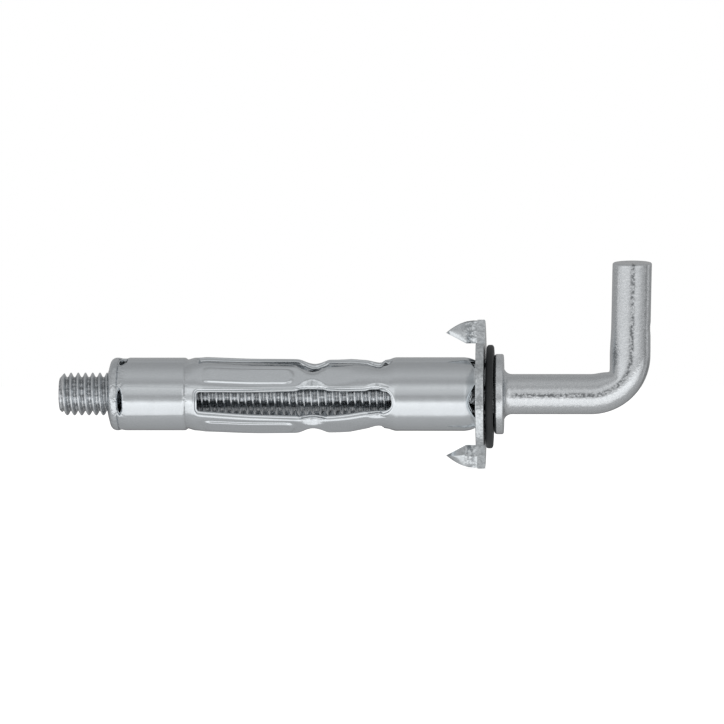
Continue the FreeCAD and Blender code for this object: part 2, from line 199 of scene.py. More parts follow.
def thread_radius(along, angle):
    """A right-hand thread: its ridge moves along by one pitch for each turn about X.

    The distance to the nearest ridge, from 0 to half a pitch, sets the radius between crest and root,
    and both are rounded, as a rolled thread's are.
    """
    phase = ((along - THREAD_SHIFT) / PITCH - angle / TURN) % 1
    nearness = np.abs(2 * phase - 1)
    return ROOT + (CREST - ROOT) * smooth_step((nearness - FLANK_START) / FLANK_RUN)


def link_mesh(name, points, faces, wear_and_shade):
    """A smooth-shaded mesh of points in millimetres, linked to the scene.

    Wear is kept at each point, from 0 for an even surface to 1 for a pitted one. On the hook screw the
    same value also holds painted shade in the thread and a painted dark reflection down its front.
    """
    mesh = bpy.data.meshes.new(name)
    mesh.from_pydata((points * MM).tolist(), [], faces)
    mesh.polygons.foreach_set("use_smooth", np.ones(len(mesh.polygons), bool))
    mesh.attributes.new("wear_and_shade", "FLOAT", "POINT").data.foreach_set("value", wear_and_shade.astype(np.float32))
    piece = bpy.data.objects.new(name, mesh)
    bpy.context.scene.collection.objects.link(piece)
    return piece


def grid_cells(number, loop_rows=False):
    """The four corner numbers of every cell of a grid that is closed round each row."""
    below = number if loop_rows else number[:-1]
    above = np.roll(number, -1, axis=0) if loop_rows else number[1:]
    return np.stack([below, np.roll(below, -1, axis=1), np.roll(above, -1, axis=1), above], axis=-1)


def make_piece(name, grid, wear_and_shade=0, loop_rows=False, first_pole=False, last_pole=False):
    """A mesh whose vertices are the grid's points and whose faces are its cells, closed round each row.

    A pole is a row of equal points, which becomes one vertex.
    """
    rows, columns = grid.shape[:2]
    wear_and_shade = np.broadcast_to(wear_and_shade, (rows, columns)).ravel()
    number = np.arange(rows * columns).reshape(rows, columns)
    if first_pole:
        number[0] = number[0, 0]
    if last_pole:
        number[-1] = number[-1, 0]
    cells = grid_cells(number, loop_rows).reshape(-1, 4)
    at_first = cells[:, 0] == cells[:, 1]
    at_last = cells[:, 2] == cells[:, 3]
    quads = cells[~at_first & ~at_last]
    threes = np.concatenate([cells[at_first][:, 1:], cells[at_last][:, :3]])
    used = np.unique(np.concatenate([quads.ravel(), threes.ravel()]))
    place = np.zeros(rows * columns, int)
    place[used] = np.arange(len(used))
    faces = place[quads].tolist() + place[threes].tolist()
    return link_mesh(name, grid.reshape(-1, 3)[used], faces, wear_and_shade[used])


def unit(vectors):
    return vectors / np.linalg.norm(vectors, axis=-1, keepdims=True)


def make_sheet(name, grid, keep, wear_and_shade, edge, dent):
    """Sheet metal: the kept cells of a grid, their copy one thickness inwards, and punched edges.

    At a cut edge the wall follows the punched edge's line: away from the sheet by the line's reach, times
    the edge's share at that point, and down into its thickness. The outside is pushed in by the dent's
    depth at each point, and the inside stays as it is.
    """
    rows, columns = grid.shape[:2]
    cells = grid_cells(np.arange(rows * columns).reshape(rows, columns))[keep]
    points = grid.reshape(-1, 3)
    corners = points[cells]
    facing = unit(np.cross(corners[:, 2] - corners[:, 0], corners[:, 3] - corners[:, 1]))
    normals = np.zeros_like(points)
    np.add.at(normals, cells, facing[:, None])

    # An edge is on the rim where no other kept cell runs along it the other way.
    edges = np.stack([cells, np.roll(cells, -1, axis=1)], axis=-1).reshape(-1, 2)
    codes, back_codes = edges @ [rows * columns, 1], edges @ [1, rows * columns]
    rim = edges[~np.isin(codes, back_codes)]
    away = np.zeros_like(points)
    step = unit(points[rim[:, 1]] - points[rim[:, 0]])[:, None]
    np.add.at(away, rim, np.cross(step, normals[rim]))

    normals[cells] = unit(normals[cells])
    used, place = np.unique(cells, return_inverse=True)
    cells = place.reshape(cells.shape)
    corner, place = np.unique(rim, return_inverse=True)
    rim = place.reshape(rim.shape)
    on_rim = np.searchsorted(used, corner)
    away = unit(away[corner]) * edge.ravel()[corner, None]
    down = normals[corner]

    outside = points[used] - dent.ravel()[used, None] * normals[used]
    sides = [outside, points[used] - SHEET * normals[used]]
    levels = [on_rim]
    count = 2 * len(used)
    for reach, depth in PUNCHED_EDGE:
        sides.append(points[corner] + reach * away - depth * down)
        levels.append(count + np.arange(len(corner)))
        count += len(corner)
    levels.append(on_rim + len(used))
    faces = [cells, cells[:, ::-1] + len(used)]
    first, last = rim[:, 0], rim[:, 1]
    for upper, lower in zip(levels, levels[1:]):
        faces.append(np.stack([upper[last], upper[first], lower[first], lower[last]], axis=1))
    wear_and_shade = wear_and_shade.ravel()
    wear_and_shade = np.concatenate([wear_and_shade[used], wear_and_shade[used], np.tile(wear_and_shade[corner], len(PUNCHED_EDGE))])
    return link_mesh(name, np.concatenate(sides), np.concatenate(faces).tolist(), wear_and_shade)


def finish_piece(piece, body, node, material):
    piece.data.materials.append(material)
    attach(piece, body)
    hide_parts(node)


def ring_angles(columns):
    """The angles of a ring's columns, evenly spread over one turn, as a single row."""
    return np.linspace(0, TURN, columns, endpoint=False)[None]


def around(radius, angle, along):
    """Points at the radius and the angle about X, at their place along X."""
    along = np.broadcast_to(along, np.broadcast(radius, angle).shape)
    return np.stack([along, radius * np.cos(angle), radius * np.sin(angle)], axis=-1)


# The sheet's outside from the nut's end to the neck.
SLEEVE_LINE = Line([
    (SLEEVE_END, CAP_HOLE + SMALL_EDGE * EDGE_REACH, 0),
    (-50.15, SLEEVE_RADIUS, 0.85),
    (-40.05, SLEEVE_RADIUS, 0.5),
    (-39.72, 4.74, 0.03),
    (-38.8, SLEEVE_RADIUS, 0.4),
    (-37.3, 5.2, 2.0),
    (-24.9, 5.3, 2.0),
    (-22.4, 5.0, 4.0),
    (-20.4, 5.2, 2.0),
    (-17.3, 5.13, 2.0),
    (-13.3, 4.55, 2.5),
    (-11.2, MOUTH_RADIUS, 2.0),
    (-1.7, MOUTH_RADIUS, 1.5),
    (-0.3, NECK_RADIUS, 0.5),
    (0.55, NECK_RADIUS, 0.3),
    (0.8, 5.05, 0),
])

# Half the width of the gap between two legs, and beyond the window that of the slit and the half-moon.
# The punched edge of the sheet narrows it again by the edge's reach.
GAP_LINE = Line([
    (SLEEVE_END - 1, 2.15, 0),
    (-46.5, 2.15, 2.0),
    (-41.5, 2.02, 2.0),
    (-38.6, 2.02, 2.0),
    (-24.6, 2.6, 1.5),
    (-22.4, 2.7, 2.0),
    (-20.4, 2.57, 1.5),
    (-15.3, 2.17, 1.5),
    (-8.0, 2.25, 2.0),
    (-3.0, 2.55, 2.0),
    (3.0, 2.55, 0),
])

LEGS = 4
WINDOW_TURN = math.radians(193)

# The windows' two ends, and the radius and the half-width of the corners there.
WINDOW_FAR, WINDOW_NEAR = -38.83, -11.0
FAR_CORNER, NEAR_CORNER = 1.0, 2.1
FAR_HALF, NEAR_HALF = 2.02, 2.25

# The slits: their place, their half-width, half the row of cells left out, and how far the upper one
# is torn open beyond that. It is torn from this height above the axis on, in full one run higher.
SLIT, SLIT_HALF, SLIT_ROW, SLIT_TORN = -48.78, 0.5, 0.04, 0.5
TORN_FROM, TORN_RUN = 3.4, 1.2

# The half-moons' deepest points, and where their sides start to curve.
MOON, MOON_START = -1.42, -0.1

# The narrow crease where the sleeve's end is folded in. It dents only the outside of the sheet.
CREASE, CREASE_HALF, CREASE_DEPTH = -49.14, 0.11, 0.3

# Places along the sleeve's line: the slits' middle, where the cells that the windows leave out start
# and end, and where those of the half-moons start.
SLIT_MARK = SLEEVE_LINE.distance(SLIT)
FAR_MARK = SLEEVE_LINE.distance(WINDOW_FAR + FAR_CORNER)
NEAR_MARK = SLEEVE_LINE.distance(WINDOW_NEAR - NEAR_CORNER)
MOON_MARK = SLEEVE_LINE.distance(MOON_START)

# The length over which each cut bends the rows beside it, towards the nut where negative.
FAR_BEND, NEAR_BEND, SLIT_BEND, TORN_BEND, MOON_BEND = -1.6, 4.5, -1.0, 1.8, -2.5

# The rows' spacing from each place along the sleeve's line on: closer where the sheet bends.
SLEEVE_ROWS = [
    (0, 0.1),
    (SLEEVE_LINE.distance(CREASE - 2 * CREASE_HALF), CREASE_HALF / 2),
    (SLEEVE_LINE.distance(CREASE + 2 * CREASE_HALF), 0.1),
    (SLIT_MARK - SLIT_ROW, 0.1),
    (SLIT_MARK + SLIT_ROW, 0.15),
    (SLEEVE_LINE.distance(-47.0), 0.6),
    (SLEEVE_LINE.distance(-40.35), 0.045),
    (SLEEVE_LINE.distance(-39.65), 0.16),
    (FAR_MARK, 0.2),
    (SLEEVE_LINE.distance(-36.0), 0.4),
    (SLEEVE_LINE.distance(-25.5), 0.19),
    (NEAR_MARK, 0.2),
    (SLEEVE_LINE.distance(-9.5), 0.6),
    (SLEEVE_LINE.distance(-2.5), 0.15),
    (MOON_MARK, 0.15),
    (SLEEVE_LINE.marks[-1], 1),
]
GAP_COLUMNS = 6

# The legs' flat faces: their distance from the axis, and the width over which their edges are rounded.
# From the end on they rise clear of the tube, by the rise and over the same length.
LEG_FLAT, FLAT_SOFT = 5.03, 0.1
FLAT_END, FLAT_RISE = -13.3, 2

# The pressed rib on each leg.
RIB_MIDDLE, RIB_HALF_LENGTH, RIB_HALF = -31.3, 6.5, 1.24
RIB_RISE, RIB_FLANK, RIB_END_ROUNDING, RIB_FADE = 0.24, 0.28, 1.15, 1.6
# The largest share of half a leg that half its rib takes.
RIB_SHARE = 0.72

# How far the legs sag, and where the sag starts and ends, each with its run.
LEG_SAG = 0.27
SAG_FAR, SAG_FAR_RUN = -39.5, 10
SAG_NEAR, SAG_NEAR_RUN = -13.8, 6

# The pressed corners of the legs at their two folds: middle, half-length, width and slope of each.
PRESSED = ((-22.35, 2.1, 0.72, 0.62), (-13.5, 1.5, 0.3, 0.5))
PRESSED_SOFT = 0.02
# Where the sheet is pressed in by this much it is fully bruised.
BRUISED_DEPTH = 0.06

# Wear of the sleeve: its folded end from this depth on, least on top and below, and the crimp.
CRUMPLED_FROM, CRUMPLED_RUN, CRUMPLED_LEAST = -47.7, 1.2, 0.35
CRIMP_WORN, CRIMP_WORN_WIDTH = -39.75, 0.35
SLEEVE_WEAR = 0.5

# The windows' edges are full from the first depth on, and fall to small ones at the half-moons.
FULL_EDGE_FROM, MOON_EDGE_FROM, MOON_EDGE_RUN = -45, -1.1, 0.8


def corner_arc(reach, radius, half_width):
    """How far a row runs into a rounded corner: 1 over the flat, then an arc down to 0 at the side."""
    past = np.clip((reach - (1 - radius / half_width)) * half_width / radius, 0, 1)
    return np.sqrt(1 - past ** 2)


def rib_height(along, across):
    """A raised bar with round ends: its height rises over the flank, inwards from its outline.

    The distance outside the outline is that to a smaller bar with square ends, less the ends' radius.
    """
    dx = np.abs(along - RIB_MIDDLE) - (RIB_HALF_LENGTH - RIB_END_ROUNDING)
    dt = np.abs(across) - (RIB_HALF - RIB_END_ROUNDING)
    beyond = np.hypot(np.maximum(dx, 0), np.maximum(dt, 0)) + np.minimum(np.maximum(dx, dt), 0)
    outside = beyond - RIB_END_ROUNDING
    fade = smooth_step((along - RIB_MIDDLE + RIB_HALF_LENGTH) / RIB_FADE)
    return RIB_RISE * fade * smooth_step(-outside / RIB_FLANK)


def pressed_edge(along, from_edge):
    """How far a leg's edges are pushed in at its two folds: the deeper, the nearer the cut edge.

    At each fold the crease is an arc that starts and ends on the cut edge, and the slope beyond it is
    steepest in the fold's middle.
    """
    depth = np.zeros(np.broadcast(along, from_edge).shape)
    for middle, half_length, bow, slope in PRESSED:
        share = np.clip(1 - ((along - middle) / half_length) ** 2, 0, 1)
        past = bow * share - from_edge
        depth = depth + slope * share * (past + np.sqrt(past ** 2 + PRESSED_SOFT ** 2)) / 2
    return depth


def leg_sag(along):
    """How far the legs sag below the axis: most at the first fold, nothing at either end."""
    far, near = (along - SAG_FAR) / SAG_FAR_RUN, (SAG_NEAR - along) / SAG_NEAR_RUN
    return LEG_SAG * smooth_step(far) * smooth_step(near)


def half_leg(rows):
    """Half a leg, from its middle line to its edge: its depth, height, distance across and bruises.

    The columns keep their distance from the leg's middle line: some over the rib's flat top, some over
    its flank and some beyond. The height is the tube's, cut off by the leg's flat face.
    """
    depth, radius = SLEEVE_LINE.at(rows)
    gap = np.interp(depth, *GAP_LINE.points.T)
    leg_half = radius * np.sin(QUARTER / 2 - np.arcsin(gap / radius))
    rib_edge = np.minimum(RIB_HALF, RIB_SHARE * leg_half)
    rib_top = rib_edge * (1 - RIB_FLANK / RIB_HALF)
    parts = np.linspace(0, 1, 7)
    across = np.concatenate([
        np.outer(rib_top, parts[:-1:2]),
        rib_top[:, None] + np.outer(rib_edge - rib_top, parts[:-1]),
        rib_edge[:, None] + np.outer(leg_half - rib_edge, parts),
    ], axis=1)
    depth, radius, leg_half = depth[:, None], radius[:, None], leg_half[:, None]
    tall = np.sqrt(radius ** 2 - across ** 2)
    flat = LEG_FLAT + FLAT_RISE * smooth_step((depth - FLAT_END) / FLAT_RISE)
    tall = soft_min(tall, flat, FLAT_SOFT) + rib_height(depth, across)
    pressed = pressed_edge(depth, leg_half - across)
    bruised = smooth_step(pressed / BRUISED_DEPTH)
    return np.broadcast_to(depth, across.shape), tall - pressed, across, bruised


def half_gap(rows, after_slit):
    """Half a gap, from its edge to its middle: its depth, height and distance across, seen from the leg.

    Where a window, slit or half-moon ends, the rows bend along its edge: round corners for a window, a
    lens for a slit and a parabola for a half-moon.
    """
    line = SLEEVE_LINE
    reach = np.cos(np.linspace(0, QUARTER, GAP_COLUMNS + 1))[None, 1:]
    away = rows[:, None]
    far_arc = corner_arc(reach, FAR_CORNER, FAR_HALF)
    shift = -FAR_CORNER * far_arc * fade_from(away, FAR_MARK, FAR_BEND)
    near_arc = corner_arc(reach, NEAR_CORNER, NEAR_HALF)
    near_bulge = line.distance(WINDOW_NEAR) - NEAR_MARK
    shift = shift + near_bulge * near_arc * fade_from(away, NEAR_MARK, NEAR_BEND)
    lens = SLIT_HALF * (1 - reach ** 4)
    shift = shift - lens * fade_from(away, SLIT_MARK - SLIT_ROW, SLIT_BEND)
    shift = shift + lens * after_slit
    moon_bulge = line.distance(MOON) - MOON_MARK
    shift = shift + moon_bulge * (1 - reach ** 2) * fade_from(away, MOON_MARK, MOON_BEND)
    depth, radius = line.at(away + shift)
    turned = QUARTER / 2 - np.arcsin(np.interp(depth, *GAP_LINE.points.T) * reach / radius)
    return depth, radius * np.cos(turned), radius * np.sin(turned)


def both_sides(leg, gap, sign=1):
    """Half a leg and half a gap side by side, after their mirror image, which is times the sign."""
    half = np.concatenate([leg, gap], axis=1)
    return np.concatenate([sign * half[:, :0:-1], half[:, :-1]], axis=1)


def make_sleeve(material):
    """The expansion sleeve, one strip of sheet rolled to a tube. Its legs are a little bent.

    Rows follow the tube's outline along X, and columns run round it. The cells inside a window, slit or
    half-moon are left out. The wall is the sheet's thickness inwards from this surface. The slit on top
    is torn wider open, and a narrow crease runs round the folded end.
    """
    rows = spread(SLEEVE_ROWS)
    after_slit = fade_from(rows[:, None], SLIT_MARK + SLIT_ROW, TORN_BEND)
    leg_depth, leg_tall, leg_across, leg_bruised = half_leg(rows)
    gap_depth, gap_tall, gap_across = half_gap(rows, after_slit)
    along = both_sides(leg_depth, gap_depth)
    tall = both_sides(leg_tall, gap_tall)
    across = both_sides(leg_across, gap_across, -1)
    bruised = both_sides(leg_bruised, 0 * gap_depth)

    legs = []
    for leg in range(LEGS):
        middle = WINDOW_TURN + QUARTER * (leg + 0.5)
        y = tall * math.cos(middle) - across * math.sin(middle)
        z = tall * math.sin(middle) + across * math.cos(middle)
        torn = SLIT_TORN * after_slit * smooth_step((z - TORN_FROM) / TORN_RUN)
        legs.append(np.stack([along + torn, y, z - leg_sag(along)], axis=-1))
    grid = np.concatenate(legs, axis=1)

    over_gap = np.ones(across.shape[1], bool)
    over_gap[GAP_COLUMNS:-GAP_COLUMNS] = False
    over_gap = np.tile(over_gap, LEGS)
    start = rows[:-1, None]
    in_window = (start >= FAR_MARK) & (start < NEAR_MARK)
    in_slit = (start >= SLIT_MARK - SLIT_ROW) & (start < SLIT_MARK + SLIT_ROW)
    in_moon = start >= MOON_MARK
    keep = ~((in_window | in_slit | in_moon) & over_gap)

    x, y = grid[..., 0], grid[..., 1]
    on_side = smooth_step(np.abs(y) / SLEEVE_RADIUS)
    crumpled = smooth_step((CRUMPLED_FROM - x) / CRUMPLED_RUN)
    crumpled = crumpled * (CRUMPLED_LEAST + (1 - CRUMPLED_LEAST) * on_side)
    crimped = hump(x, CRIMP_WORN, CRIMP_WORN_WIDTH)
    wear_and_shade = crumpled + SLEEVE_WEAR * crimped + SLEEVE_WEAR * np.tile(bruised, LEGS)
    near_moon = smooth_step((x - MOON_EDGE_FROM) / MOON_EDGE_RUN)
    edge = np.where(x > FULL_EDGE_FROM, 1 - (1 - SMALL_EDGE) * near_moon, SMALL_EDGE)
    dent = CREASE_DEPTH * np.clip(1 - np.abs(x - CREASE) / CREASE_HALF, 0, 1)
    piece = make_sheet("sleeve_of_rolled_sheet", grid, keep, wear_and_shade, edge, dent)
    finish_piece(piece, "anchor", "expansion_sleeve", material)


def straight_rows(angles):
    """Rows of the hook screw's straight part: their places along X, and the radius at each angle.

    The tip's face comes first, then the thread with its tip cut to a cone, then collar and shank.
    """
    face_row, cone_soft, thread_step = 0.3, 0.06, PITCH / 14
    x = spread([(THREAD_START, thread_step), (THREAD_END, 1)])[:-1, None]
    cone = CREST - TIP_CUT + (x - THREAD_START) * TIP_SLOPE
    thread = soft_min(thread_radius(x, angles - QUARTER), cone, cone_soft)
    face = np.array([[0.0], [CREST - TIP_CUT - face_row]]) + np.zeros_like(angles)

    outline = Line([
        (THREAD_END, CREST, 0),
        (THREAD_END + 0.2, ROD, 0),
        (COLLAR_START, ROD, 0),
        (COLLAR_START, COLLAR_RADIUS, 0.4),
        (COLLAR_END, COLLAR_RADIUS, 0.25),
        (COLLAR_END, ROD, 1.1),
        (LEG_REACH - BEND, ROD, 0),
    ])
    turned = outline.points[np.append(True, np.diff(outline.marks) > 0)]
    shank_start, bend_start = turned[-2, 0] + 0.3, LEG_REACH - BEND
    shank = spread([(shank_start, 0.5), (bend_start - 1.2, 0.12), (bend_start, 1)])
    turned = np.concatenate([turned[:-1], np.stack([shank, np.full(len(shank), ROD)], axis=1)])
    along = np.concatenate([[[THREAD_START], [THREAD_START]], x, turned[:, :1]])
    return along, np.concatenate([face, thread, turned[:, 1:] + np.zeros_like(angles)])


def bend_rows(angles):
    """Rows of the bend: how far each has swung round, and the reach of its outer and its inner half.

    On the inside of the bend the rod is drawn in to the two straight lines of the pressed square
    corner, so its reach there is the bend's radius less the distance from the bend's centre to the
    nearer line. The shank's line bulges a little more than the leg's.
    """
    corner_soft, flattest = 0.25, 0.01
    swing = np.linspace(0, QUARTER, 49)[1:, None]
    bulge = BEND_BULGE * smooth_step(swing / (QUARTER / 2))
    to_shank = (BEND - ROD - bulge) / np.maximum(np.cos(swing), flattest)
    to_leg = (BEND - ROD - LEG_BULGE) / np.maximum(np.sin(swing), flattest)
    inner = BEND - soft_min(to_shank, to_leg, corner_soft) + np.zeros_like(angles)
    return swing, np.full_like(inner, ROD), inner


def leg_rows(angles):
    """Rows of the hook's leg up to its rounded end: their heights, and their outer and inner reach.

    The leg narrows over the first stretch beyond the bend.
    """
    narrowing, end_ring = 4, 1.2
    side_end = LEG_HEIGHT - LEG_END_ROUNDING
    z = spread([(BEND, 0.1), (BEND + 1.5, 0.6), (side_end, 1)])[1:, None]
    left = 1 - smooth_step((z - BEND) / narrowing)
    out = LEG_ROD + (ROD - LEG_ROD) * left + np.zeros_like(angles)
    inner = LEG_ROD + (ROD + LEG_BULGE - LEG_ROD) * left + np.zeros_like(angles)
    arc = np.linspace(0, QUARTER, 7)[1:, None]
    end_z = np.concatenate([side_end + LEG_END_ROUNDING * np.sin(arc), [[LEG_HEIGHT], [LEG_HEIGHT]]])
    rounding = LEG_ROD - LEG_END_ROUNDING + LEG_END_ROUNDING * np.cos(arc)
    end_out = np.concatenate([rounding, [[end_ring], [0.0]]]) + np.zeros_like(angles)
    z = np.concatenate([z, end_z])
    return z, np.concatenate([out, end_out]), np.concatenate([inner, end_out])


def bend_leg(grid):
    """Moves the points of the hook's leg: it leans out, its end is sheared askew, and it has a nick.

    The nick is a small dent in the leg's outer side. The end's cut slopes across the leg.
    """
    x, y, z = grid[..., 0], grid[..., 1], grid[..., 2]
    nick_depth, nick_height, nick_side = 0.14, 9.0, -0.6
    up, out, aside = (z - nick_height) / 0.35, (x - LEG_REACH - ROD) / 0.5, (y - nick_side) / 1.2
    nick = np.exp(-up ** 2 - out ** 2 - aside ** 2)
    shear_start, shear_run, shear_slope, shear_cut = 1.6, 1.2, 0.137, 0.4
    sheared = smooth_step((z - LEG_HEIGHT + shear_start) / shear_run)
    up_leg = np.clip((z - BEND) / (LEG_HEIGHT - BEND), 0, 1)
    x += LEG_LEAN * up_leg - nick_depth * nick
    z += sheared * (shear_slope * y - shear_cut)


def painted_screw_shade(angles, along, out):
    """Painted shade of the hook screw: a dark line down its front, and the grooves of the thread.

    The line is a painted dark reflection down the front of shank and leg, speckled like pits. The
    thread's grooves get painted shade, darker towards their roots and mottled like pits. The face of
    the tip is clean.
    """
    # A painted dark reflection down the front of shank and leg, speckled like pits.
    reflection_angle, reflection_width = math.radians(273), math.radians(5.5)
    beyond_collar, reflection_run = 0.9, 0.8
    started = smooth_step((along - COLLAR_END - beyond_collar) / reflection_run)
    line = hump(angles, reflection_angle, reflection_width) * started
    # Painted shade in the thread's grooves: darker towards the root, mottled like pits.
    groove_shade, crest_band = 0.8, 0.12
    shaded_groove = groove_shade * np.clip((CREST - crest_band - out) / (CREST - ROOT), 0, 1)
    in_thread = (along < THREAD_END) & (out > CREST - TIP_CUT)
    return line + np.where(in_thread, shaded_groove, 0)


def make_screw(material):
    """The hook screw: a section carried along the thread, the collar, the shank, the bend and the leg.

    The section's outer half is round, with one reach, and its inner half has a reach of its own.
    """
    angles = ring_angles(64)
    x, straight = straight_rows(angles)
    swing, bend_out, bend_inner = bend_rows(angles)
    z, leg_out, leg_inner = leg_rows(angles)
    centre_x = np.concatenate([x, LEG_REACH - BEND * (1 - np.sin(swing)), 0 * z + LEG_REACH])
    centre_z = np.concatenate([0 * x, BEND * (1 - np.cos(swing)), z])
    swing = np.concatenate([0 * x, swing, 0 * z + QUARTER])
    out = np.concatenate([straight, bend_out, leg_out])
    inner = np.concatenate([straight, bend_inner, leg_inner])

    sideways = np.cos(angles)
    reach = sideways * np.where(sideways > 0, out, inner)
    grid = np.stack([
        centre_x + reach * np.sin(swing),
        out * np.sin(angles),
        centre_z - reach * np.cos(swing),
    ], axis=-1)
    bend_leg(grid)
    # Painted shade in the thread's grooves and a painted dark reflection down the front, drawn as pits.
    wear_and_shade = painted_screw_shade(angles, centre_x, out)
    piece = make_piece("hook_screw_of_wire", grid, wear_and_shade, first_pole=True, last_pole=True)
    piece.data.set_sharp_from_angle(angle=math.radians(50))
    finish_piece(piece, "hook", "hook_screw", material)


def make_nut(material):
    """The nut: its section is a loop from the outer wall round to the threaded bore, turned about X.

    Its far end narrows in two slopes inside the sleeve's folded end, and its near end is chamfered.
    """
    far, outer = SLEEVE_END + SHEET + FIT, SLEEVE_RADIUS - SHEET - FIT
    bore = CREST + THREAD_GAP
    first_slope, both_slopes, slope_rounding = 1.6, 2.2, 0.6
    chamfer, thread_step = 0.5, PITCH / 12
    wall = rounded_points([
        (far, bore, 0),
        (far, CAP_HOLE, 0),
        (far + first_slope, outer - chamfer, slope_rounding),
        (far + both_slopes, outer, slope_rounding),
        (NUT_NEAR - chamfer, outer, 0),
        (NUT_NEAR, outer - chamfer, 0),
        (NUT_NEAR, bore, 0),
    ])[1:-1]
    angles = ring_angles(64)
    x = spread([(far, thread_step), (NUT_NEAR, 1)])[::-1, None]
    threaded = thread_radius(x, angles) + THREAD_GAP
    radius = np.concatenate([wall[:, 1:] + np.zeros_like(angles), threaded])
    along = np.concatenate([wall[:, :1], x])
    piece = make_piece("nut_turned_steel", around(radius, angles, along), loop_rows=True)
    piece.data.set_sharp_from_angle(angle=math.radians(40))
    finish_piece(piece, "anchor", "threaded_nut", material)


def make_washer(material):
    """The rubber washer: a ring whose section is a rounded bar. It hangs on the shank and leans over."""
    outer_rounding, inner_rounding = 0.38, 0.3
    seam_start, seam_end = 5.0, 4.9
    outline = rounded_points([
        (WASHER_NEAR, seam_start, 0),
        (WASHER_NEAR, WASHER_RADIUS, outer_rounding),
        (WASHER_FAR, WASHER_RADIUS, outer_rounding),
        (WASHER_FAR, WASHER_BORE, inner_rounding),
        (WASHER_NEAR, WASHER_BORE, inner_rounding),
        (WASHER_NEAR, seam_end, 0),
    ])
    angles = ring_angles(128)
    grid = around(outline[:, 1:] + 0 * angles, angles, outline[:, :1])
    grid[..., 0] += WASHER_LEAN * grid[..., 2]
    grid[..., 2] -= WASHER_DROP
    piece = make_piece("washer_of_rubber", grid, loop_rows=True)
    finish_piece(piece, "washer_slide", "washer", material)


def plate_reach(angle):
    """The plate's edge seen from its middle: a circle, less the two corners cut for the spikes.

    Each cut has one side at the spikes' foot, square to Z, and one at the spikes' near face, square to Y.
    A point is in a cut where it lies beyond both, so the edge is the further of the two there.
    """
    flattest = 1e-6
    across = np.maximum(-np.cos(angle), flattest)
    up = np.maximum(np.abs(np.sin(angle)), flattest)
    cut = np.maximum(SPIKE_BASE / up, CUT_SIDE / across)
    return np.minimum(FLANGE_RADIUS, cut)


def make_plate():
    """The spiked flange's plate: a ring whose section keeps its edges and stretches to the plate's edge.

    Columns lie close on both sides of each corner of a cut. The sheared edge is worn, and the faces
    aren't.
    """
    hole, seam = NECK_RADIUS + FIT, 0.5
    outline = rounded_points([
        (seam, hole, 0),
        (0.0, hole, 0.05),
        (0.0, FLANGE_RADIUS, 0.15),
        (FLANGE_THICKNESS, FLANGE_RADIUS, 0.12),
        (FLANGE_THICKNESS, hole + STAKE_WIDTH, 0.02),
        (STAKE_RIM, hole + STAKE_WIDTH, 0),
        (STAKE_FOOT, hole, 0.5),
        (seam, hole, 0),
    ], arc_steps=4)[:-1]
    side = math.atan2(SPIKE_BASE, -CUT_SIDE)
    top = math.acos(-CUT_SIDE / FLANGE_RADIUS)
    foot = math.pi - math.asin(SPIKE_BASE / FLANGE_RADIUS)
    tight = math.radians(0.25)
    upper = np.concatenate([
        np.linspace(0, top, 40),
        np.linspace(top + tight / 4, side, 5),
        np.linspace(side + tight, foot, 12),
        np.linspace(foot + tight, math.pi, 26)[:-1],
    ])
    angles = np.concatenate([upper, [math.pi], TURN - upper[:0:-1]])[None]
    share = np.clip((outline[:, 1:] - hole) / (FLANGE_RADIUS - hole), 0, 1)
    radius = hole + share * (plate_reach(angles) - hole)
    edge_from, edge_wear = 0.98, 0.3
    return around(radius, angles, outline[:, :1]), edge_wear * (share > edge_from)


def make_spike(side):
    """One spike: a section with bevelled edges, carried from the plate to the point.

    Its height at each depth lies between the straight lower edge and the bowed outer edge. The upper
    spike is flat between its bevels, and the lower one's bevels meet in a ridge. Both are hollowed a
    little where the metal was bent. The section's points are given by their height from the spike's
    middle and their share of half its thickness, and the first rows are sunk into the plate.
    """
    sunk, root, taper, thinnest = 0.55, 0.3, 0.4, 1e-4
    depth = np.concatenate([[sunk], np.linspace(root, -SPIKE_LENGTH, 40)])
    gone = np.clip(-depth / SPIKE_LENGTH, 0, 1)
    high = SPIKE_TOP + (SPIKE_TIP - SPIKE_TOP) * gone + 4 * SPIKE_BOW * gone * (1 - gone)
    slope = SPIKE_BASE + (SPIKE_TIP - SPIKE_BASE) * (-depth - SPIKE_HEEL) / (SPIKE_LENGTH - SPIKE_HEEL)
    low = np.where(depth > -SPIKE_HEEL, SPIKE_BASE, slope)
    middle, half = (high + low) / 2, np.maximum((high - low) / 2, thinnest)
    thick = SPIKE_HALF * np.minimum(half / taper, 1)
    if side > 0:
        bevel, edge = np.minimum(0.55, 1.2 * half), np.minimum(0.15, half)
        heights = [half, half - edge, bevel - half, -half, -half, edge - half, half - edge, half]
        widths = [-0.5, -1, -1, -0.5, 0.5, 1, 1, 0.5]
    else:
        heights = [half, 0.16 * half, -0.1 * half, -half, -half, -0.5 * half, 0.5 * half, half]
        widths = [0.8, -0.8, -1, -0.2, 0.2, 0.9, 1, 0.95]
    heights, widths = np.stack(heights, axis=1), thick[:, None] * np.array(widths)
    hollow_depth, hollow_at, hollow_width = 0.15, -0.75, 0.4
    hollow = hollow_depth * hump(depth[:, None], hollow_at, hollow_width)
    widths = np.where(widths < 0, np.minimum(widths + hollow, 0), widths)
    z = side * (middle[:, None] + heights)
    grid = np.stack([depth[:, None] + 0 * z, widths, z], axis=-1)
    return grid if side > 0 else grid[:, ::-1]


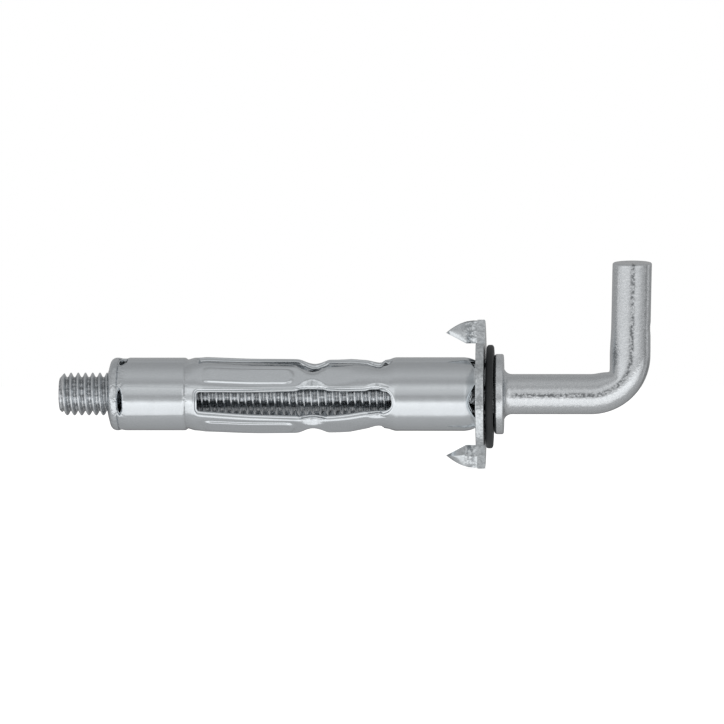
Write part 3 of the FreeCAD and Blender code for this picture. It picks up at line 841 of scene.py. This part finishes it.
def make_flange(material):
    """The plate and its two spikes, joined to one mesh. The spikes are worn where they were bent."""
    bent_wear, bent_at, bent_width = 0.8, -0.9, 0.9
    plate = make_piece("flange_with_spikes", *make_plate(), loop_rows=True)
    parts = [plate]
    for side in (1, -1):
        grid = make_spike(side)
        wear_and_shade = bent_wear * hump(grid[..., 0], bent_at, bent_width)
        parts.append(make_piece(f"spike_{side}", grid, wear_and_shade, last_pole=True))
    with bpy.context.temp_override(active_object=plate, selected_editable_objects=parts,
                                   selected_objects=parts):
        bpy.ops.object.join()
    plate.data.set_sharp_from_angle(angle=math.radians(32))
    finish_piece(plate, "anchor", "spiked_flange", material)


def linear(hex_code):
    """An sRGB hex colour as linear light, with full alpha."""
    parts = np.array([int(hex_code[place:place + 2], 16) for place in (0, 2, 4)]) / 255
    light = np.where(parts <= 0.04045, parts / 12.92, ((parts + 0.055) / 1.055) ** 2.4)
    return (*light.tolist(), 1.0)


def per_mm(size):
    """A noise scale whose grains are this many millimetres across, on coordinates in metres."""
    return 1 / (size * MM)


def add_node(tree, kind, inputs=None, **settings):
    """One node with its settings, and its inputs each linked to a socket or set to a value."""
    node = tree.nodes.new(kind)
    for name, value in settings.items():
        setattr(node, name, value)
    for name, value in (inputs or {}).items():
        if isinstance(value, bpy.types.NodeSocket):
            tree.links.new(value, node.inputs[name])
        else:
            node.inputs[name].default_value = value
    return node


def new_material(name):
    material = bpy.data.materials.new(name)
    material.use_nodes = True
    material.node_tree.nodes.clear()
    return material, material.node_tree


# Worn plating: the size and height of its wrinkles, and the colour of its pits. On the hook screw that
# colour also paints shade in the thread and a dark reflection down its front.
WRINKLE, WRINKLE_HEIGHT, PIT_AND_SHADE_COLOUR = 0.4, 0.1, "3c4044"
# The height of the grain as a share of the dents' height.
GRAIN_SHARE = 0.25


def bright_zinc(name, light, dark, roughness, rough_spread, grain, dent, dent_height, pits_and_shade):
    """Zinc electroplated on steel: a bluish white metal whose fine crystals blur its reflections.

    A coarse pattern gives the shallow dents of handling, a fine one the plating's grain. The real
    crystals are far smaller than a pixel, so the grain is drawn coarser, one or two pixels wide in the
    photograph's view. Where the surface is worn it has deeper dents and dark pits. The same dark pits
    paint shade into the hook screw's thread grooves and a dark reflection down its front.
    """
    material, tree = new_material(name)
    place = add_node(tree, "ShaderNodeTexCoord").outputs["Object"]
    wear_and_shade = add_node(tree, "ShaderNodeAttribute", attribute_name="wear_and_shade").outputs["Fac"]
    coarse = add_node(tree, "ShaderNodeTexNoise", {"Vector": place, "Scale": per_mm(dent), "Detail": 2.0})
    fine = add_node(tree, "ShaderNodeTexNoise", {"Vector": place, "Scale": per_mm(grain), "Detail": 3.0})
    crumpled = add_node(tree, "ShaderNodeTexNoise", {
        "Vector": place, "Scale": per_mm(WRINKLE), "Detail": 1.0})
    pits = add_node(tree, "ShaderNodeMapRange", {
        "Value": crumpled.outputs["Fac"], "From Min": 0.38, "From Max": 0.6, "To Max": pits_and_shade})
    # Pits where worn; on the hook screw this also paints shade in the grooves and a dark reflection down
    # the front.
    worn_and_shaded = add_node(tree, "ShaderNodeMath", {0: pits.outputs["Result"], 1: wear_and_shade}, operation="MULTIPLY")
    clean = add_node(tree, "ShaderNodeMix", {
        "Factor": fine.outputs["Fac"], "A": linear(dark), "B": linear(light)}, data_type="RGBA")
    colour = add_node(tree, "ShaderNodeMix", {
        "Factor": worn_and_shaded.outputs["Value"], "A": clean.outputs["Result"], "B": linear(PIT_AND_SHADE_COLOUR)},
        data_type="RGBA")
    rough = add_node(tree, "ShaderNodeMapRange", {
        "Value": coarse.outputs["Fac"], "From Min": 0.3, "From Max": 0.7,
        "To Min": roughness, "To Max": roughness + rough_spread})
    dents = add_node(tree, "ShaderNodeBump", {
        "Height": coarse.outputs["Fac"], "Strength": 1.0, "Distance": dent_height * MM})
    grains = add_node(tree, "ShaderNodeBump", {
        "Height": fine.outputs["Fac"], "Strength": 1.0, "Distance": dent_height * MM * GRAIN_SHARE,
        "Normal": dents.outputs["Normal"]})
    wrinkles = add_node(tree, "ShaderNodeBump", {
        "Height": crumpled.outputs["Fac"], "Strength": wear_and_shade, "Distance": WRINKLE_HEIGHT * MM,
        "Normal": grains.outputs["Normal"]})
    shader = add_node(tree, "ShaderNodeBsdfPrincipled", {
        "Base Color": colour.outputs["Result"], "Roughness": rough.outputs["Result"],
        "Metallic": 1.0, "Normal": wrinkles.outputs["Normal"]})
    add_node(tree, "ShaderNodeOutputMaterial", {"Surface": shader.outputs["BSDF"]})
    return material


def moulded_rubber():
    """Black rubber, moulded: nearly matt, with a fine grain that the light catches at its edges.

    The grain is drawn coarser than a real mould's, which would be too fine to see.
    """
    grain_size, grain_height = 0.25, 0.02
    material, tree = new_material("nitrile_rubber_moulded")
    place = add_node(tree, "ShaderNodeTexCoord").outputs["Object"]
    grain = add_node(tree, "ShaderNodeTexNoise", {
        "Vector": place, "Scale": per_mm(grain_size), "Detail": 3.0})
    bump = add_node(tree, "ShaderNodeBump", {
        "Height": grain.outputs["Fac"], "Strength": 1.0, "Distance": grain_height * MM})
    shader = add_node(tree, "ShaderNodeBsdfPrincipled", {
        "Base Color": linear("1c1e20"), "Roughness": 0.5, "Normal": bump.outputs["Normal"]})
    add_node(tree, "ShaderNodeOutputMaterial", {"Surface": shader.outputs["BSDF"]})
    return material


def make_floor():
    """A white studio floor under the anchor, which also glows a little, so its shadows stay pale."""
    half, gap, glow = 2.0, 0.0001, 0.7
    z = float(cad_box[0][2]) - gap
    mesh = bpy.data.meshes.new("studio_floor")
    mesh.from_pydata([(-half, -half, z), (half, -half, z), (half, half, z), (-half, half, z)], [],
                     [(0, 1, 2, 3)])
    floor = bpy.data.objects.new("studio_floor", mesh)
    bpy.context.scene.collection.objects.link(floor)
    material, tree = new_material("white_card")
    shader = add_node(tree, "ShaderNodeBsdfPrincipled", {
        "Base Color": linear("f4f4f4"), "Roughness": 0.9,
        "Emission Color": linear("ffffff"), "Emission Strength": glow})
    add_node(tree, "ShaderNodeOutputMaterial", {"Surface": shader.outputs["BSDF"]})
    mesh.materials.append(material)
    floor.visible_glossy = False


# The studio as the metal sees it: brightness by the angle about X, from in front (0) over the top,
# and how the light from either side differs from that, by the angle about Z, from in front towards +X.
# Angles are in degrees, and each pair is an angle and its brightness.
LIGHT_ABOUT_X = [
    (-180, 0.36), (-172, 0.24), (-156, 0.24), (-146, 0.38), (-136, 0.4), (-110, 0.48), (-80, 0.56),
    (-72, 0.68), (-68, 1.15), (-51, 1.17), (-38, 1.25), (-30, 1.35), (-26, 1.2), (-20, 0.6),
    (-13, 0.56), (-10, 0.48), (-5, 0.48), (-2, 0.64), (10, 0.74), (20, 0.82), (28, 0.68), (34, 0.52),
    (40, 0.46), (46, 0.5), (60, 0.6), (70, 0.55), (83, 0.48), (100, 0.42), (118, 0.4), (126, 0.48),
    (134, 0.42), (150, 0.43), (180, 0.36),
]
LIGHT_FROM_SIDES = [
    (-180, 1.0), (-130, 1.2), (-95, 1.2), (-77, 1.13), (-50, 1.36), (-16, 1.36), (-9, 1.0), (9, 1.0),
    (16, 1.42), (40, 1.3), (55, 1.0), (70, 0.75), (84, 0.6), (98, 0.6), (106, 2.0), (116, 2.0),
    (124, 1.0), (180, 1.0),
]
BRIGHTEST = 2.0


def light_curve(tree, across, up, steps):
    """The brightness that the steps give for a direction's angle, from its parts across and up."""
    angle = add_node(tree, "ShaderNodeMath", {0: up, 1: across}, operation="ARCTAN2")
    share = add_node(tree, "ShaderNodeMapRange", {
        "Value": angle.outputs["Value"], "From Min": -math.pi, "From Max": math.pi})
    node = add_node(tree, "ShaderNodeFloatCurve", {"Value": share.outputs["Result"]})
    curve = node.mapping.curves[0]
    points = [((degrees + 180) / 360, light / BRIGHTEST) for degrees, light in steps]
    curve.points[0].location, curve.points[1].location = points[0], points[-1]
    for point in points[1:-1]:
        curve.points.new(*point)
    for point in curve.points:
        point.handle_type = "VECTOR"
    node.mapping.update()
    scaled = add_node(tree, "ShaderNodeMath", {
        0: node.outputs["Value"], 1: BRIGHTEST}, operation="MULTIPLY")
    return scaled.outputs["Value"]


def make_studio():
    """Soft light from all round in bands along X, as strip lights and cards give. The camera sees white.

    The sides' light counts in full for level directions and fades out towards steep ones.
    """
    world = bpy.data.worlds.new("studio")
    bpy.context.scene.world = world
    world.use_nodes = True
    tree = world.node_tree
    tree.nodes.clear()
    place = add_node(tree, "ShaderNodeTexCoord").outputs["Generated"]
    parts = add_node(tree, "ShaderNodeSeparateXYZ", {"Vector": place}).outputs
    front = add_node(tree, "ShaderNodeMath", {0: parts["Y"], 1: -1.0}, operation="MULTIPLY")
    front = front.outputs["Value"]
    bands = light_curve(tree, front, parts["Z"], LIGHT_ABOUT_X)
    sides = light_curve(tree, front, parts["X"], LIGHT_FROM_SIDES)
    steep = add_node(tree, "ShaderNodeMath", {0: parts["Z"]}, operation="ABSOLUTE")
    level = add_node(tree, "ShaderNodeMapRange", {
        "Value": steep.outputs["Value"], "From Min": 0.15, "From Max": 0.5,
        "To Min": 1.0, "To Max": 0.0})
    sides = add_node(tree, "ShaderNodeMix", {"Factor": level.outputs["Result"], "A": 1.0, "B": sides})
    strength = add_node(tree, "ShaderNodeMath", {
        0: bands, 1: sides.outputs["Result"]}, operation="MULTIPLY")
    light = add_node(tree, "ShaderNodeBackground", {
        "Color": linear("ffffff"), "Strength": strength.outputs["Value"]})
    white = add_node(tree, "ShaderNodeBackground", {"Color": linear("ffffff"), "Strength": 1.0})
    seen = add_node(tree, "ShaderNodeLightPath").outputs["Is Camera Ray"]
    mix = add_node(tree, "ShaderNodeMixShader", {
        "Fac": seen, 1: light.outputs["Background"], 2: white.outputs["Background"]})
    add_node(tree, "ShaderNodeOutputWorld", {"Surface": mix.outputs["Shader"]})
    bpy.context.scene.view_settings.view_transform = "Standard"


def make_camera():
    """The photograph's view: along +Y from a little to the hook's side, with a long lens."""
    target = Vector((-15.8, 0, 4.4)) * MM
    turn = math.radians(3.1)
    distance = 614 * MM
    camera = bpy.data.cameras.new("camera")
    camera.angle = math.radians(9.25)
    camera.clip_start = 0.01
    holder = bpy.data.objects.new("camera", camera)
    holder.location = target + Vector((math.sin(turn), -math.cos(turn), 0)) * distance
    holder.rotation_euler = (QUARTER, 0, turn)
    bpy.context.scene.collection.objects.link(holder)
    bpy.context.scene.camera = holder


sleeve_zinc = bright_zinc(
    "zinc_on_rolled_sheet", "dfe3e6", "c4c9cd", roughness=0.12, rough_spread=0.08,
    grain=0.12, dent=1.6, dent_height=0.012, pits_and_shade=0.1)
flange_zinc = bright_zinc(
    "zinc_on_pressed_plate", "e2e6e8", "b8bdc1", roughness=0.13, rough_spread=0.12,
    grain=0.22, dent=0.9, dent_height=0.02, pits_and_shade=0.7)
# Its dark pits also paint shade in the thread's grooves and a dark reflection down the front.
wire_zinc = bright_zinc(
    "zinc_on_drawn_wire", "eef0f2", "b4b9bd", roughness=0.18, rough_spread=0.1,
    grain=0.16, dent=0.35, dent_height=0.03, pits_and_shade=0.9)
nut_zinc = bright_zinc(
    "zinc_on_turned_nut", "c8ccd0", "a0a5aa", roughness=0.25, rough_spread=0.1,
    grain=0.15, dent=0.8, dent_height=0.01, pits_and_shade=0.3)

make_sleeve(sleeve_zinc)
make_screw(wire_zinc)
make_nut(nut_zinc)
make_flange(flange_zinc)
make_washer(moulded_rubber())
make_floor()
make_studio()
make_camera()
